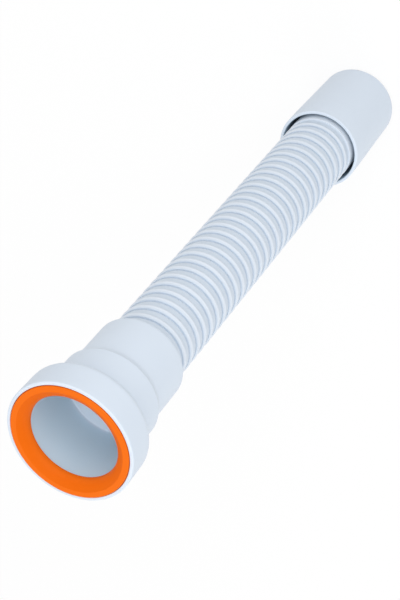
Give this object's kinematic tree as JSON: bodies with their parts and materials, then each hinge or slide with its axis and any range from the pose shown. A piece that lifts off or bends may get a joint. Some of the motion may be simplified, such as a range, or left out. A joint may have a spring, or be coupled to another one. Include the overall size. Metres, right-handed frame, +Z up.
{
  "type": "flexible waste pipe",
  "caption": "Flexible corrugated waste pipe with a stepped push-in socket and orange rubber seal at the inlet and a plain tapered sleeve at the outlet.",
  "frame": {"origin": "centre of the outlet end, which the pipe stands on", "axes": "+Z up along the pipe's axis, from the outlet end to the inlet mouth; X and Y across it, alike in every direction"},
  "size_m": [0.0662, 0.0662, 0.3795],
  "materials": {
    "tube_plastic": "satin, bluish white",
    "moulded_plastic": "satin, cool white",
    "seal_rubber": "soft satin orange"
  },
  "bodies": {
    "root": {"corrugated_tube": "tube_plastic", "inlet_socket": "moulded_plastic", "outlet_sleeve": "moulded_plastic", "seal_ring": "seal_rubber"}
  },
  "joints": []
}
